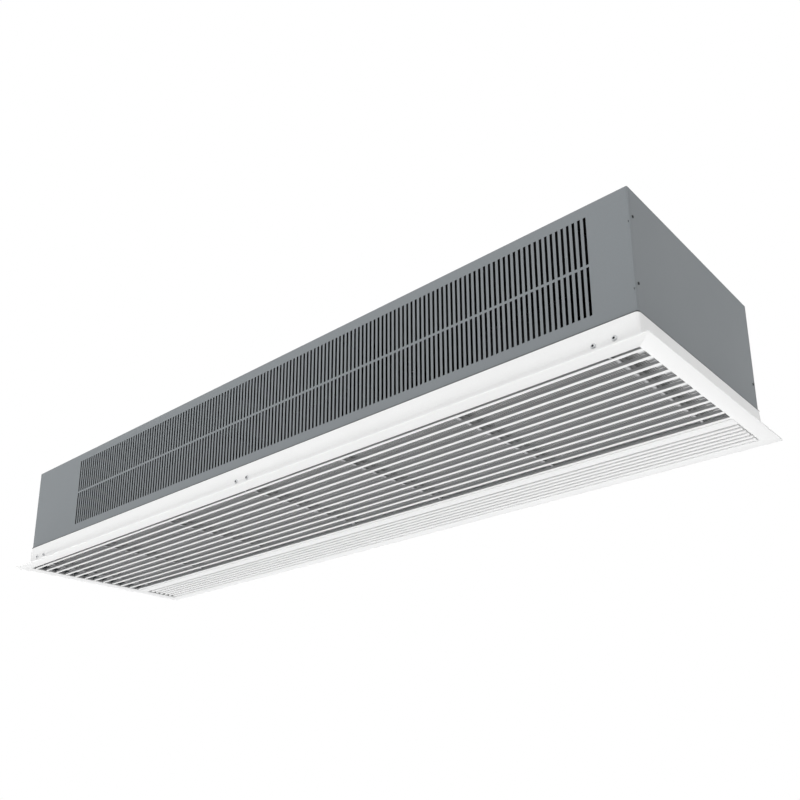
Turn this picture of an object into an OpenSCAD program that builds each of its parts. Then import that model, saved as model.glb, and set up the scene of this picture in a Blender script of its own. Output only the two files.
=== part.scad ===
// Recessed air curtain for a ceiling above a doorway.
// X runs along the casing, the slotted face looks towards -Y, +Z is up.
// The origin is the middle of the flange's underside, all sizes are in millimetres.

/* [Casing] */
// Length of the casing
case_l = 2000; // [1760:10:2400]
// Depth of the casing, slotted face to rear face
case_w = 512; // [460:1:560]
// Height of the casing above the collar
case_h = 241; // [241:1:300]
// Thickness of the casing's steel sheet
sheet = 1.5; // [1:0.1:2]
// Outer bend radius of the casing's upright corners
bend_r = 3; // [2.5:0.1:4]
// Depth of the returns folded round the upright corners
return_d = 6; // [5:0.5:9]
// How far the cover lies below the panels' top edges
cover_drop = 0.6; // [0.3:0.1:1]
// Leg of the angle posts inside the corners
post_leg = 25; // [20:1:30]

/* [Front slots] */
// Distance from one slot to the next
slot_pitch = 11.37; // [9:0.01:16]
// Width of a slot
slot_w = 5.4; // [3:0.1:6]
// Left end of the casing to the first slot's centre
slot_left = 245; // [200:1:300]
// Right end of the casing to the last slot's centre
slot_right = 83; // [60:1:120]
// Plain band below the slots
slot_low = 26.2; // [15:0.1:40]
// Plain band above the slots
slot_high = 22.6; // [15:0.1:40]
// Bridge between the two rows of slots
slot_bridge = 5.4; // [4:0.1:12]

/* [Frame] */
// Height of the white collar, from the flange's underside to the casing
collar_h = 60; // [56:1:75]
// Wall of the collar
collar_t = 3; // [2:0.1:4]
// How far the flange stands out from the casing
flange_over = 30; // [20:1:45]
// Thickness of the flange
flange_t = 3; // [2:0.1:4]
// How far the flange's edge reaches in under the casing
lip = 4; // [2:0.5:5]
// Corner radius of the collar in plan
collar_r = 8; // [6:0.5:10]
// Height of the collar screws above the flange's underside
collar_screw_z = 27; // [27:1:30]
// Spacing of the two screws of a pair
collar_screw_pair = 39; // [30:1:60]
// End of the casing to the middle of the end pairs
collar_screw_end = 62.5; // [50:0.5:100]

/* [Intake grille] */
// Number of bars in the grille
bar_count = 12; // [10:1:14]
// Width of a bar
bar_w = 7.4; // [5:0.1:9]
// Height of a bar
bar_h = 7; // [6:0.5:8]
// Front face of the casing to the first bar's centre
bar_first = 18.5; // [18.5:0.1:20]
// How far the bars lie above the flange's underside
bar_rise = 1; // [0.5:0.1:1.5]
// Number of hinges along the grille, each on a cross rod
hinge_count = 3; // [2:1:4]
// Number of cross rods from one hinge to the next, with the rod at one of the hinges
rods_per_hinge = 3; // [2:1:4]
// How far the rods between two hinges lie to the left of an even spacing
rod_shift = 26; // [0:1:30]
// Diameter of the cross rods
rod_d = 6; // [5:0.5:7]
// End of the casing to the first cross rod
rod_end = 60; // [50:1:100]
// Width of the filter frame's rails
rail_w = 12; // [10:0.5:14]
// Height of the filter frame
rail_h = 12; // [10:0.5:14]
// Width of the filter frame's cross ribs, one above each rod
rib_w = 5; // [3:0.5:6]
// Thickness of the filter mesh
filter_t = 3; // [2:0.5:4]
// Radius of the hinge pins
hinge_r = 2; // [1.5:0.1:2.2]

/* [Divider and outlet] */
// Width of the bar between the grille and the outlet
divider_w = 27; // [22:0.5:30]
// Height of the divider
divider_h = 20; // [16:1:24]
// Wall of the divider
divider_t = 2; // [1.5:0.1:2.5]
// Thickness of a vane at its lower nose
vane_t = 7.4; // [6:0.1:8]
// Thickness of a vane at its upper edge
vane_top_t = 3; // [2.8:0.1:4]
// Height of a vane
vane_h = 24; // [22:0.5:24]
// Distance from one vane to the next
vane_pitch = 16.9; // [16:0.1:17]
// Divider to the first vane's centre
vane_front = 17.1; // [12:0.1:18]
// Last vane's centre to the rear side of the collar
vane_back = 7.1; // [7:0.1:9]
// How far the vanes lie above the flange's underside
vane_rise = 0.5; // [0.5:0.1:1]
// Radius of the vanes' pivot pins
pivot_r = 2.5; // [2:0.1:3]
// Radius of the crank pins for the tie bar
crank_r = 1.5; // [1:0.1:1.6]
// Distance from a vane's pivot to its crank pin
crank_arm = 9; // [8.6:0.1:9.4]

/* [Fans] */
// Distance from one fan to the next
fan_pitch = 600; // [520:5:620]
// Width of a fan's housing
fan_w = 200; // [180:1:240]
// Outer radius of the fan wheel
wheel_r = 80; // [76:1:82]
// Depth of the wheel's blades
blade_depth = 14; // [12:1:18]
// Number of blades on a wheel
blade_count = 36; // [24:1:40]
// Least gap between the wheel and the scroll
scroll_gap = 8; // [6:1:8]
// How much the scroll widens from its tongue to its outlet
scroll_growth = 37; // [30:1:37]
// Radius of the fixed motor shaft
shaft_r = 6; // [5:0.5:7]
// Radius of the motor's stator
stator_r = 42; // [36:1:44]

/* [Electrics and suspension] */
// Length of the control box
box_l = 190; // [150:1:200]
// Depth of the control box
box_w = 115; // [90:1:120]
// Height of the control box
box_h = 140; // [100:1:150]
// Bore of the cable gland
gland_bore = 9; // [7:0.5:11]
// End of the casing to the hanging nuts
hang_end = 100; // [90:1:200]
// Face of the casing to the hanging nuts
hang_side = 56; // [50:1:80]
// Core hole of the M8 thread in the hanging nuts
hang_bore = 6.8; // [6.6:0.1:7]

/* [Hidden] */
$fn = 48;

// Clearances
seat = 0.3;              // gap between pieces that lie against each other
run = 0.05;              // radial clearance of a running fit
slip = 0.2;              // radial clearance of a screw in its hole
swing = 1;               // gap round the grille and between its last bar and the divider
cut = 1;                 // how far a cutting solid runs past the face it cuts
press = 0.02;            // radial clearance of a pin or shaft held fast in its bore

// Casing
half_l = case_l / 2;
half_w = case_w / 2;
z_top = collar_h + case_h;
skirt_gap = 5;
skirt_z = flange_t + skirt_gap;     // lower edge of the panels, hidden inside the collar
cover_t = 1.2;
cover_z = z_top - cover_drop - cover_t;
in_l = half_l - sheet;
in_w = half_w - sheet;
slot_row_h = (case_h - slot_low - slot_high - slot_bridge) / 2;
slot_count = floor((case_l - slot_left - slot_right) / slot_pitch) + 1;
notch_drop = 14;                    // how far a fold notch lies below its end screw
notch_in = 1;                       // middle of a notch in from the end face
notch_half = 2;
notch_depth = 1.2;
end_screw_inset = 12;
end_screw_front_z = [58, 186];      // heights of the end screws above the collar
end_screw_rear_z = [58];
end_screw_r = 1.7;
end_head_r = 2.8;
end_head_h = 1.6;
end_screw_past = 3;                 // thread that shows inside the post

// Frame
open_l = half_l - lip;              // half length of the opening in the flange
open_front = -half_w + lip;
open_rear = half_w;
flange_l = half_l + flange_over;
flange_w = half_w + flange_over;
mitre = flange_over + lip + sheet;
screw_r = 2.4;
head_r = 5;
head_h = 2.6;
screw_past = 2.5;                   // thread that shows inside the casing's skirt

// Divider and outlet in plan
vane_count = 6;
outlet_w = vane_front + (vane_count - 1) * vane_pitch + vane_back;
divider_rear = open_rear - outlet_w;
divider_y = divider_rear - divider_w;
partition_y = divider_y + divider_t;

// Grille
bar_y0 = -half_w + bar_first;
bar_nose = 1.5;
bar_l = 2 * (open_l - swing);
bar_top = bar_rise + bar_h;
grille_front = bar_y0 - bar_w / 2;
grille_rear = divider_y - swing;
bar_pitch = (grille_rear - bar_w / 2 - bar_y0) / (bar_count - 1);
rod_flat = 0.8;                     // flat on a rod's underside, where it sits on the bars
rod_z = bar_top + rod_d / 2 - rod_flat;
rod_top = rod_z + rod_d / 2;
rod_count = (hinge_count - 1) * rods_per_hinge + 1;
rod_step = (case_l - 2 * rod_end) / (rod_count - 1);
eye_r = hinge_r + 1.6;
eye_w = 5;
eye_gap = 0.2;                      // gap between a hinge eye and the first bar
eye_low = 0.4;                      // how far a hinge eye lies above the bars' underside
hinge_y = grille_front - eye_r - eye_gap;
hinge_z = bar_rise + eye_r + eye_low;
ear_t = 2;
ear_gap = 0.4;
ear_trim = 0.1;                     // how much smaller than the eye an ear is
ear_under = 1.6;
bracket_t = 2;
bracket_half = 12;
bracket_up = 13;                    // height of a bracket's plate above the hinge axis
bracket_web = 5;
pin_past = 1;
rail_z = rod_top;
rail_top = rail_z + rail_h;
rail_ledge = 4;
rail_inset = 10;
rail_l = bar_l / 2 - rail_inset;
filter_drop = 1;
filter_z = rail_top - filter_t - filter_drop;

// Outlet in height
plate_z = flange_t + seat;
vane_head = 20;                     // room above the vanes
floor_low_z = vane_rise + vane_h + vane_head;
floor_leg = 12;
pivot_z = vane_rise + vane_h / 2;
crank_z = pivot_z + crank_arm;
strip_t = 6;
strip_half_h = 5.5;
vane_half = in_l - strip_t - seat - swing;
pivot_play = 0.8;                   // gap between a pivot pin's end and the end panel
crank_past = 1;
tie_t = 3;
tie_h = 5;
tie_gap = 0.4;
tie_end = 2.7;
magnet = [40, 12, 12];

// Fans
fan_count = 3;
tongue_a = -30;                     // angle of the scroll's tongue
outlet_a = 270;                     // angle where the scroll runs into its outlet
scroll_step = 15;
fan_mid_x = (slot_left - slot_right) / 2;
scroll_r0 = wheel_r + scroll_gap;
scroll_r1 = scroll_r0 + scroll_growth;
top_rail_h = 10;
top_rail_w = 40;
rail_under = cover_z - top_rail_h;  // underside of the top rails
fan_back = 132.3;                   // partition to the fans' axis
fan_head = 1.2;                     // gap between the housings and the top rails
fan_y = partition_y - fan_back;
fan_z = rail_under - fan_head - scroll_r(90);
fan_sheet = 1.2;
tongue_drop = 55;
tongue_z = fan_z - tongue_drop;
window_z = fan_z - scroll_r1 + fan_sheet;
floor_step = 0.4;                   // step from the fans' windows down to the duct floor
floor_high_z = window_z - floor_step;
inlet_lap = 4;
inlet_r = wheel_r - blade_depth - inlet_lap;
inlet_ring_l = 8;
fan_flange = 12;
wheel_end = 6;                      // gap between the wheel and the housing's side
wheel_half = fan_w / 2 - wheel_end;
wheel_ring_t = 2;
wheel_disc_t = 3;
blade_t = 1.4;
blade_seat = 0.5;                   // how far the rings and blades lap
cup_l = 50;
cup_t = 3;
cup_gap = 2.5;
hub_l = 22;
hub_t = 8;
shaft_past = 8;
stator_end = 48;
stator_l = 44;
strap_w = 26;
strap_past = 14;                    // how far a motor strap reaches past the inlet
strap_t = 3;
boss_r = 20;

// Electrics and suspension
hang_x = case_l - 2 * hang_end;
hang_y = case_w - 2 * hang_side;
nut_wall = 2.1;
nut_rim = 2;
nut_r = hang_bore / 2 + nut_wall;
nut_flange_r = nut_r + nut_rim;
nut_h = 15;
box_end = 28.5;                     // gap between the control box and the end panel
box_side = 5;                       // gap between the control box and the hanging nuts
box_x = -in_l + box_end;
box_y = -hang_y / 2 + nut_r + box_side;
box_z = rail_under - box_h;
box_ceiling = rail_under - sheet;
board_x = 70;
board_end = 15;
board_side = 12;
board_t = 1.6;
stand_h = 6;
stand_r = 3;
stand_in = 5;                       // board's edge to a standoff
coil = [16, 18, 19];
coil_x = 90;
coil_pitch = 26;
terminal_count = 5;
terminal_x = 20;
terminal_y = 30;
terminal = [26, 9, 20];
terminal_hole_r = 2.6;
terminal_hole_h = 8;
gland_y = box_y + box_w / 2;
gland_z = box_z + box_h / 2;
gland_wall = 3.5;
gland_body_r = gland_bore / 2 + gland_wall;
gland_hex_r = gland_body_r + 4;
gland_hex_h = 8;
gland_nut_h = 5;
gland_cap_h = 8;
gland_cap_r = gland_body_r + 1.5;
gland_out = gland_hex_h + gland_cap_h;
gland_tail = 6;                     // how far the gland reaches into the control box

// Colours
casing_grey = "#8c9194";
frame_white = "#f4f4f3";
bar_white = "#efefee";
zinc = "#9aa0a3";
dark_zinc = "#5c6164";
fan_black = "#2c2e30";
nylon = "#d8d8d4";

// Scroll radius at an angle, widening evenly from the tongue to the outlet
function scroll_r(a) = scroll_r0 + scroll_growth * (a - tongue_a) / (outlet_a - tongue_a);
// Outline of a fan's housing, seen from the right end, each point moved in by inset
function scroll_outline(inset, reach) = concat(
    [for (a = [tongue_a:scroll_step:outlet_a])
        [fan_y + (scroll_r(a) - inset) * cos(a), fan_z + (scroll_r(a) - inset) * sin(a)]],
    [[partition_y + reach, fan_z - scroll_r1 + inset],
     [partition_y + reach, tongue_z - inset]]);
function fan_x(i) = fan_mid_x + (i - (fan_count + 1) / 2) * fan_pitch;
function vane_y(i) = divider_rear + vane_front + (i - 1) * vane_pitch;
function is_hinge_rod(i) = i % rods_per_hinge == 0;
function rod_x(i) = -half_l + rod_end + i * rod_step - (is_hinge_rod(i) ? 0 : rod_shift);
function polar(r, a) = [r * cos(a), r * sin(a)];

// Extrudes a profile drawn in Y and Z along X, from x0 over a length
module along_x(x0, length) {
    translate([x0, 0, 0]) rotate([90, 0, 90]) linear_extrude(length) children();
}

// Cylinder along X
module rod_along_x(x0, length, r) {
    translate([x0, 0, 0]) rotate([0, 90, 0]) cylinder(h = length, r = r);
}

// Rectangle from x0, y0 to x1, y1
module area(x0, y0, x1, y1) {
    translate([x0, y0]) square([x1 - x0, y1 - y0]);
}

// Box from a low corner to a high corner
module block(low, high) {
    translate(low) cube(high - low);
}

// ---------------------------------------------------------------- casing

// Plan of a panel with both ends rounded and folded back, face on y = 0
module fold_plan(half, depth, r) {
    area(-half, r, half, depth);
    area(-half + r, 0, half - r, depth);
    for (s = [-1, 1]) translate([s * (half - r), r]) circle(r);
}

module folded_panel() {
    translate([0, 0, skirt_z]) linear_extrude(z_top - skirt_z) difference() {
        fold_plan(half_l, return_d, bend_r);
        translate([0, sheet]) fold_plan(in_l, return_d, bend_r - sheet);
    }
}

module collar_hole_row(side) {
    for (x = collar_screw_xs()) translate([x, side * half_w, collar_screw_z])
        rotate([90, 0, 0]) cylinder(h = 4 * collar_t, r = screw_r + slip, center = true);
}

function collar_screw_xs() = [for (mid = [-half_l + collar_screw_end, 0, half_l - collar_screw_end])
    for (s = [-1, 1]) mid + s * collar_screw_pair / 2];

module fold_notches() {
    for (s = [-1, 1]) for (z = end_screw_front_z)
        translate([s * (half_l - notch_in), -half_w, collar_h + z - notch_drop])
            block([-notch_half, -cut, -notch_half], [notch_half, notch_depth, notch_half]);
}

module front_slots() {
    for (i = [0:slot_count - 1]) for (row = [0, 1])
        translate([-half_l + slot_left + i * slot_pitch - slot_w / 2, -half_w - cut,
                   collar_h + slot_low + row * (slot_row_h + slot_bridge)])
            cube([slot_w, sheet + 2 * cut, slot_row_h]);
}

module front_panel() {
    color(casing_grey) difference() {
        translate([0, -half_w, 0]) folded_panel();
        front_slots();
        fold_notches();
        collar_hole_row(-1);
    }
}

module rear_panel() {
    color(casing_grey) difference() {
        translate([0, half_w, 0]) mirror([0, 1, 0]) folded_panel();
        collar_hole_row(1);
    }
}

function end_screws() = concat(
    [for (z = end_screw_front_z) [-half_w + end_screw_inset, collar_h + z]],
    [for (z = end_screw_rear_z) [half_w - end_screw_inset, collar_h + z]]);

module end_panel() {
    difference() {
        block([in_l, -half_w + return_d + seat, skirt_z], [half_l, half_w - return_d - seat, z_top]);
        for (p = end_screws()) translate([0, p[0], p[1]])
            rod_along_x(in_l - cut, sheet + 2 * cut, end_screw_r + slip);
    }
}

module right_end_panel() {
    color(casing_grey) end_panel();
}

module left_end_panel() {
    color(casing_grey) difference() {
        mirror([1, 0, 0]) end_panel();
        translate([0, gland_y, gland_z]) rod_along_x(-half_l - cut, sheet + 2 * cut, gland_body_r + slip);
    }
}

module top_cover() {
    color(casing_grey) difference() {
        block([-in_l + seat, -in_w + seat, cover_z], [in_l - seat, in_w - seat, cover_z + cover_t]);
        hanging_holes(cover_z, cover_t);
    }
}

// Angle post with its outer corner at the origin, legs along -X and +Y
module post_plan() {
    difference() {
        union() {
            area(-post_leg, 0, -bend_r, sheet);
            area(-sheet, bend_r, 0, post_leg);
            translate([-bend_r, bend_r]) circle(bend_r);
        }
        area(-2 * post_leg, sheet, -sheet, 2 * post_leg);
    }
}

module corner_posts() {
    color(dark_zinc) difference() {
        for (mx = [0, 1]) for (my = [0, 1]) mirror([mx, 0, 0]) mirror([0, my, 0])
            translate([in_l, -in_w, collar_h]) linear_extrude(cover_z - collar_h) post_plan();
        for (mx = [0, 1]) mirror([mx, 0, 0]) for (p = end_screws()) translate([0, p[0], p[1]])
            rod_along_x(in_l - 2 * sheet - cut, 2 * sheet + cut, end_screw_r + slip);
    }
}

// Domed head with a round recess and a shank, head on z = 0 and shank down
module pan_screw(r, h, shank_r, shank_l) {
    difference() {
        union() {
            cylinder(h = h * 0.45, r = r);
            intersection() {
                cylinder(h = h, r = r);
                translate([0, 0, h - r * 1.6]) sphere(r * 1.6, $fn = 64);
            }
        }
        translate([0, 0, h * 0.4]) cylinder(h = h, r = r * 0.38, $fn = 6);
    }
    translate([0, 0, -shank_l]) cylinder(h = shank_l, r = shank_r);
}

module casing_screws() {
    color("#33373a") for (mx = [0, 1]) mirror([mx, 0, 0]) for (p = end_screws())
        translate([half_l, p[0], p[1]]) rotate([0, 90, 0])
            pan_screw(end_head_r, end_head_h, end_screw_r, 2 * sheet + end_screw_past);
}

// ---------------------------------------------------------------- frame

module collar_plan() {
    difference() {
        union() {
            area(-half_l - collar_t + collar_r, -half_w - collar_t,
                 half_l + collar_t - collar_r, half_w + collar_t);
            area(-half_l - collar_t, -half_w - collar_t + collar_r,
                 half_l + collar_t, half_w + collar_t - collar_r);
            for (sx = [-1, 1]) for (sy = [-1, 1])
                translate([sx * (half_l + collar_t - collar_r), sy * (half_w + collar_t - collar_r)])
                    circle(collar_r);
        }
        translate([0, -half_w]) fold_plan(half_l, half_w, bend_r);
        mirror([0, 1]) translate([0, -half_w]) fold_plan(half_l, half_w, bend_r);
    }
}

module flange_plan() {
    difference() {
        area(-flange_l, -flange_w, flange_l, flange_w);
        area(-open_l, open_front, open_l, open_rear);
    }
}

module whole_frame() {
    difference() {
        union() {
            linear_extrude(flange_t) flange_plan();
            linear_extrude(collar_h) collar_plan();
        }
        collar_hole_row(-1);
        collar_hole_row(1);
    }
}

// Plan of one long or one short side, cut at 45 degrees from the flange's outer corners
module long_wedge() {
    polygon([[-flange_l, -flange_w], [flange_l, -flange_w],
             [flange_l - mitre, -flange_w + mitre], [-flange_l + mitre, -flange_w + mitre]]);
}

module short_wedge() {
    polygon([[flange_l, -flange_w], [flange_l, flange_w],
             [flange_l - mitre, flange_w - mitre], [flange_l - mitre, -flange_w + mitre]]);
}

module frame_front() {
    color(frame_white) intersection() {
        whole_frame();
        linear_extrude(collar_h) long_wedge();
    }
}

module frame_rear() {
    color(frame_white) intersection() {
        whole_frame();
        mirror([0, 1, 0]) linear_extrude(collar_h) long_wedge();
    }
}

module frame_right() {
    color(frame_white) intersection() {
        whole_frame();
        linear_extrude(collar_h) short_wedge();
    }
}

module frame_left() {
    color(frame_white) intersection() {
        whole_frame();
        mirror([1, 0, 0]) linear_extrude(collar_h) short_wedge();
    }
}

module collar_screws() {
    color("#c9cccd") for (my = [0, 1]) mirror([0, my, 0]) for (x = collar_screw_xs())
        translate([x, -half_w - collar_t, collar_screw_z]) rotate([90, 0, 0])
            pan_screw(head_r, head_h, screw_r, collar_t + sheet + screw_past);
}

// ---------------------------------------------------------------- intake grille

module bar_profile() {
    area(-bar_w / 2, bar_nose, bar_w / 2, bar_h);
    area(-bar_w / 2 + bar_nose, 0, bar_w / 2 - bar_nose, bar_h);
    for (s = [-1, 1]) translate([s * (bar_w / 2 - bar_nose), bar_nose]) circle(bar_nose, $fn = 24);
}

module grille_bars() {
    color(bar_white) for (i = [0:bar_count - 1])
        along_x(-bar_l / 2, bar_l) translate([bar_y0 + i * bar_pitch, bar_rise]) bar_profile();
}

module hinge_eye() {
    along_x(-eye_w / 2, eye_w) difference() {
        union() {
            translate([hinge_y, hinge_z]) circle(eye_r);
            area(hinge_y - eye_r, hinge_z, hinge_y, rod_top);
            area(hinge_y - eye_r, bar_top, grille_front + bar_w, rod_top);
            area(hinge_y - eye_r, hinge_z, grille_front - eye_gap / 2, rod_top);
        }
        translate([hinge_y, hinge_z]) circle(hinge_r + run);
    }
}

module cross_rod() {
    intersection() {
        translate([0, grille_front, rod_z]) rotate([-90, 0, 0])
            cylinder(h = grille_rear - grille_front, r = rod_d / 2);
        block([-rod_d, grille_front - cut, bar_top], [rod_d, grille_rear + cut, rod_top + cut]);
    }
}

module grille_rods() {
    color(bar_white) for (i = [0:rod_count - 1]) translate([rod_x(i), 0, 0]) {
        cross_rod();
        if (is_hinge_rod(i)) hinge_eye();
    }
}

module filter_frame() {
    color(dark_zinc) {
        difference() {
            block([-rail_l, grille_front + slip, rail_z], [rail_l, grille_rear - 2 * slip, rail_top]);
            block([-rail_l + rail_w, grille_front + rail_w, rail_z - cut],
                  [rail_l - rail_w, grille_rear - rail_w, rail_top + cut]);
            block([-rail_l + rail_w - rail_ledge, grille_front + rail_w - rail_ledge, filter_z],
                  [rail_l - rail_w + rail_ledge, grille_rear - rail_w + rail_ledge, rail_top + cut]);
        }
        for (i = [0:rod_count - 1])
            block([rod_x(i) - rib_w / 2, grille_front + rail_w - rail_ledge, rail_z],
                  [rod_x(i) + rib_w / 2, grille_rear - rail_w + rail_ledge, filter_z]);
    }
}

module intake_filter() {
    color("#7d8285") block(
        [-rail_l + rail_w - rail_ledge + seat, grille_front + rail_w - rail_ledge + seat, filter_z],
        [rail_l - rail_w + rail_ledge - seat, grille_rear - rail_w + rail_ledge - seat,
         filter_z + filter_t]);
}

module hinge_brackets() {
    ear_x = eye_w / 2 + ear_gap;
    color(dark_zinc) for (i = [0:rod_count - 1]) if (is_hinge_rod(i)) translate([rod_x(i), 0, 0])
        difference() {
            union() {
                for (x = [-ear_x - ear_t, ear_x]) along_x(x, ear_t) {
                    translate([hinge_y, hinge_z]) circle(eye_r - ear_trim);
                    area(-in_w, hinge_z - ear_under, hinge_y, hinge_z + eye_r - ear_trim);
                    area(-in_w, hinge_z, -in_w + bracket_web, hinge_z + bracket_up);
                }
                block([-bracket_half, -in_w, skirt_z],
                      [bracket_half, -in_w + bracket_t, hinge_z + bracket_up]);
            }
            translate([0, hinge_y, hinge_z]) rod_along_x(-bracket_half, 2 * bracket_half, hinge_r + press);
        }
}

module hinge_pins() {
    pin_half = eye_w / 2 + ear_gap + ear_t + pin_past;
    color("#b9bcbd") for (i = [0:rod_count - 1]) if (is_hinge_rod(i))
        translate([rod_x(i), hinge_y, hinge_z]) rod_along_x(-pin_half, 2 * pin_half, hinge_r);
}

module magnet_catches() {
    color("#3a3d40") for (i = [0:rod_count - 1]) if (is_hinge_rod(i))
        translate([rod_x(i) - magnet[0] / 2, partition_y - magnet[1], rail_top + seat]) cube(magnet);
}

// ---------------------------------------------------------------- divider and outlet

module divider() {
    color(frame_white) along_x(-open_l + seat, 2 * (open_l - seat)) difference() {
        area(divider_y, 0, divider_rear, divider_h);
        area(divider_y + divider_t, divider_t, divider_rear - divider_t, divider_h + cut);
    }
}

module partition() {
    color(zinc) difference() {
        block([-in_l, partition_y, plate_z], [in_l, partition_y + sheet, cover_z]);
        for (i = [1:fan_count])
            block([fan_x(i) - fan_w / 2 + fan_sheet, partition_y - cut, window_z],
                  [fan_x(i) + fan_w / 2 - fan_sheet, partition_y + 2 * cut, tongue_z - fan_sheet]);
        for (x = top_rail_xs())
            block([x - top_rail_w / 2 - seat, partition_y - cut, rail_under - seat],
                  [x + top_rail_w / 2 + seat, partition_y + 2 * cut, cover_z + cut]);
    }
}

// Sheet that guides the air from the fans down to the vanes
module duct_floor() {
    y_front = partition_y + sheet;
    y_rear = divider_rear - divider_t;
    slope = (floor_low_z - floor_high_z) / (y_rear - y_front);
    under = sheet * sqrt(1 + slope * slope);
    color(zinc) along_x(-in_l, 2 * in_l) polygon([
        [y_front, floor_high_z - floor_leg],
        [y_front, floor_high_z],
        [y_rear, floor_low_z],
        [y_rear, plate_z],
        [y_rear - sheet, plate_z],
        [y_rear - sheet, floor_low_z - slope * sheet - under],
        [y_front + sheet, floor_high_z + slope * sheet - under],
        [y_front + sheet, floor_high_z - floor_leg]]);
}

module vane_profile() {
    low = vane_rise + vane_t / 2;
    high = vane_rise + vane_h - vane_top_t / 2;
    translate([0, low]) circle(vane_t / 2);
    translate([0, high]) circle(vane_top_t / 2, $fn = 24);
    polygon([[-vane_t / 2, low], [vane_t / 2, low], [vane_top_t / 2, high], [-vane_top_t / 2, high]]);
}

module vane(i) {
    color(frame_white) translate([0, vane_y(i), 0]) {
        along_x(-vane_half, 2 * vane_half) vane_profile();
        translate([0, 0, pivot_z]) rod_along_x(-in_l + pivot_play, 2 * (in_l - pivot_play), pivot_r);
        translate([0, 0, crank_z])
            rod_along_x(-vane_half - tie_t - crank_past, tie_t + 2 * crank_past, crank_r);
    }
}

module vane_1() { vane(1); }
module vane_2() { vane(2); }
module vane_3() { vane(3); }
module vane_4() { vane(4); }
module vane_5() { vane(5); }
module vane_6() { vane(6); }

// Bearing strip for the vanes' pivots at the right end
module vane_strip() {
    difference() {
        block([in_l - strip_t, divider_rear + seat, pivot_z - strip_half_h],
              [in_l, in_w - bend_r + sheet, pivot_z + strip_half_h]);
        for (i = [1:vane_count]) translate([0, vane_y(i), pivot_z])
            rod_along_x(in_l - strip_t - cut, strip_t + 2 * cut, pivot_r + run);
    }
}

module vane_strip_right() {
    color(nylon) vane_strip();
}

module vane_strip_left() {
    color(nylon) mirror([1, 0, 0]) vane_strip();
}

module tie_bar() {
    color(zinc) difference() {
        block([-vane_half - tie_gap - tie_t, vane_y(1) - tie_end, crank_z - tie_h / 2],
              [-vane_half - tie_gap, vane_y(vane_count) + tie_end, crank_z + tie_h / 2]);
        for (i = [1:vane_count]) translate([0, vane_y(i), crank_z])
            rod_along_x(-vane_half - 2 * tie_t, 3 * tie_t, crank_r + run);
    }
}

// ---------------------------------------------------------------- fans

module fan_housing(i) {
    color(zinc) translate([fan_x(i), 0, 0]) {
        along_x(-fan_w / 2, fan_w) difference() {
            polygon(scroll_outline(0, 0));
            polygon(scroll_outline(fan_sheet, cut));
        }
        for (x = [-fan_w / 2, fan_w / 2 - fan_sheet]) along_x(x, fan_sheet) difference() {
            polygon(scroll_outline(0, 0));
            translate([fan_y, fan_z]) circle(inlet_r);
        }
        for (s = [-1, 1]) translate([0, fan_y, fan_z]) difference() {
            rod_along_x(s > 0 ? fan_w / 2 - inlet_ring_l : -fan_w / 2, inlet_ring_l, inlet_r + fan_sheet);
            rod_along_x(-fan_w, 2 * fan_w, inlet_r);
        }
        difference() {
            block([-fan_w / 2 - fan_flange, partition_y - sheet, fan_z - scroll_r1 - fan_flange],
                  [fan_w / 2 + fan_flange, partition_y, tongue_z + fan_flange]);
            block([-fan_w / 2 + fan_sheet, partition_y - 3 * sheet, window_z],
                  [fan_w / 2 - fan_sheet, partition_y + cut, tongue_z - fan_sheet]);
        }
    }
}

module fan_housing_1() { fan_housing(1); }
module fan_housing_2() { fan_housing(2); }
module fan_housing_3() { fan_housing(3); }

// Forward-curved blade: its tip leads in the running direction
module blade(thick) {
    radii = [wheel_r - blade_depth, wheel_r - blade_depth * 0.45, wheel_r - blade_seat];
    lead = [0, 1.6, 6.5];
    face = [for (k = [0:2]) polar(radii[k], lead[k])];
    back = [for (k = [2:-1:0]) polar(radii[k], lead[k] + thick / radii[k] * 180 / PI)];
    polygon(concat(face, back));
}

module fan_wheel(i) {
    inner = wheel_r - blade_depth;
    cup_r = stator_r + cup_gap;
    color(fan_black) translate([fan_x(i), fan_y, fan_z]) {
        along_x(-wheel_half, 2 * wheel_half)
            for (k = [0:blade_count - 1]) rotate(k * 360 / blade_count) blade(blade_t);
        for (x = [-wheel_half, wheel_half - wheel_ring_t]) along_x(x, wheel_ring_t) difference() {
            circle(wheel_r);
            circle(inner - blade_seat);
        }
        along_x(-wheel_disc_t / 2, wheel_disc_t) difference() {
            circle(wheel_r);
            circle(shaft_r + run);
        }
        along_x(-cup_l, cup_l) difference() {
            circle(cup_r + cup_t);
            circle(cup_r);
        }
        along_x(0, hub_l) difference() {
            circle(shaft_r + hub_t);
            circle(shaft_r + run);
        }
    }
}

module fan_wheel_1() { fan_wheel(1); }
module fan_wheel_2() { fan_wheel(2); }
module fan_wheel_3() { fan_wheel(3); }

module fan_motor(i) {
    reach = fan_w / 2 + shaft_past;
    color("#85898b") translate([fan_x(i), fan_y, fan_z]) {
        rod_along_x(-reach, 2 * reach, shaft_r);
        rod_along_x(-stator_end, stator_l, stator_r);
    }
}

module fan_motor_1() { fan_motor(1); }
module fan_motor_2() { fan_motor(2); }
module fan_motor_3() { fan_motor(3); }

// Strap across each inlet that holds the fixed shaft
module motor_bracket(i) {
    strap_l = inlet_r + strap_past;
    color(dark_zinc) translate([fan_x(i), fan_y, fan_z])
        for (x = [-fan_w / 2 - strap_t, fan_w / 2]) along_x(x, strap_t) difference() {
            union() {
                area(-strap_l, -strap_w / 2, strap_l, strap_w / 2);
                circle(boss_r);
            }
            circle(shaft_r + press);
        }
}

module motor_bracket_1() { motor_bracket(1); }
module motor_bracket_2() { motor_bracket(2); }
module motor_bracket_3() { motor_bracket(3); }

// ---------------------------------------------------------------- suspension and electrics

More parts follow.
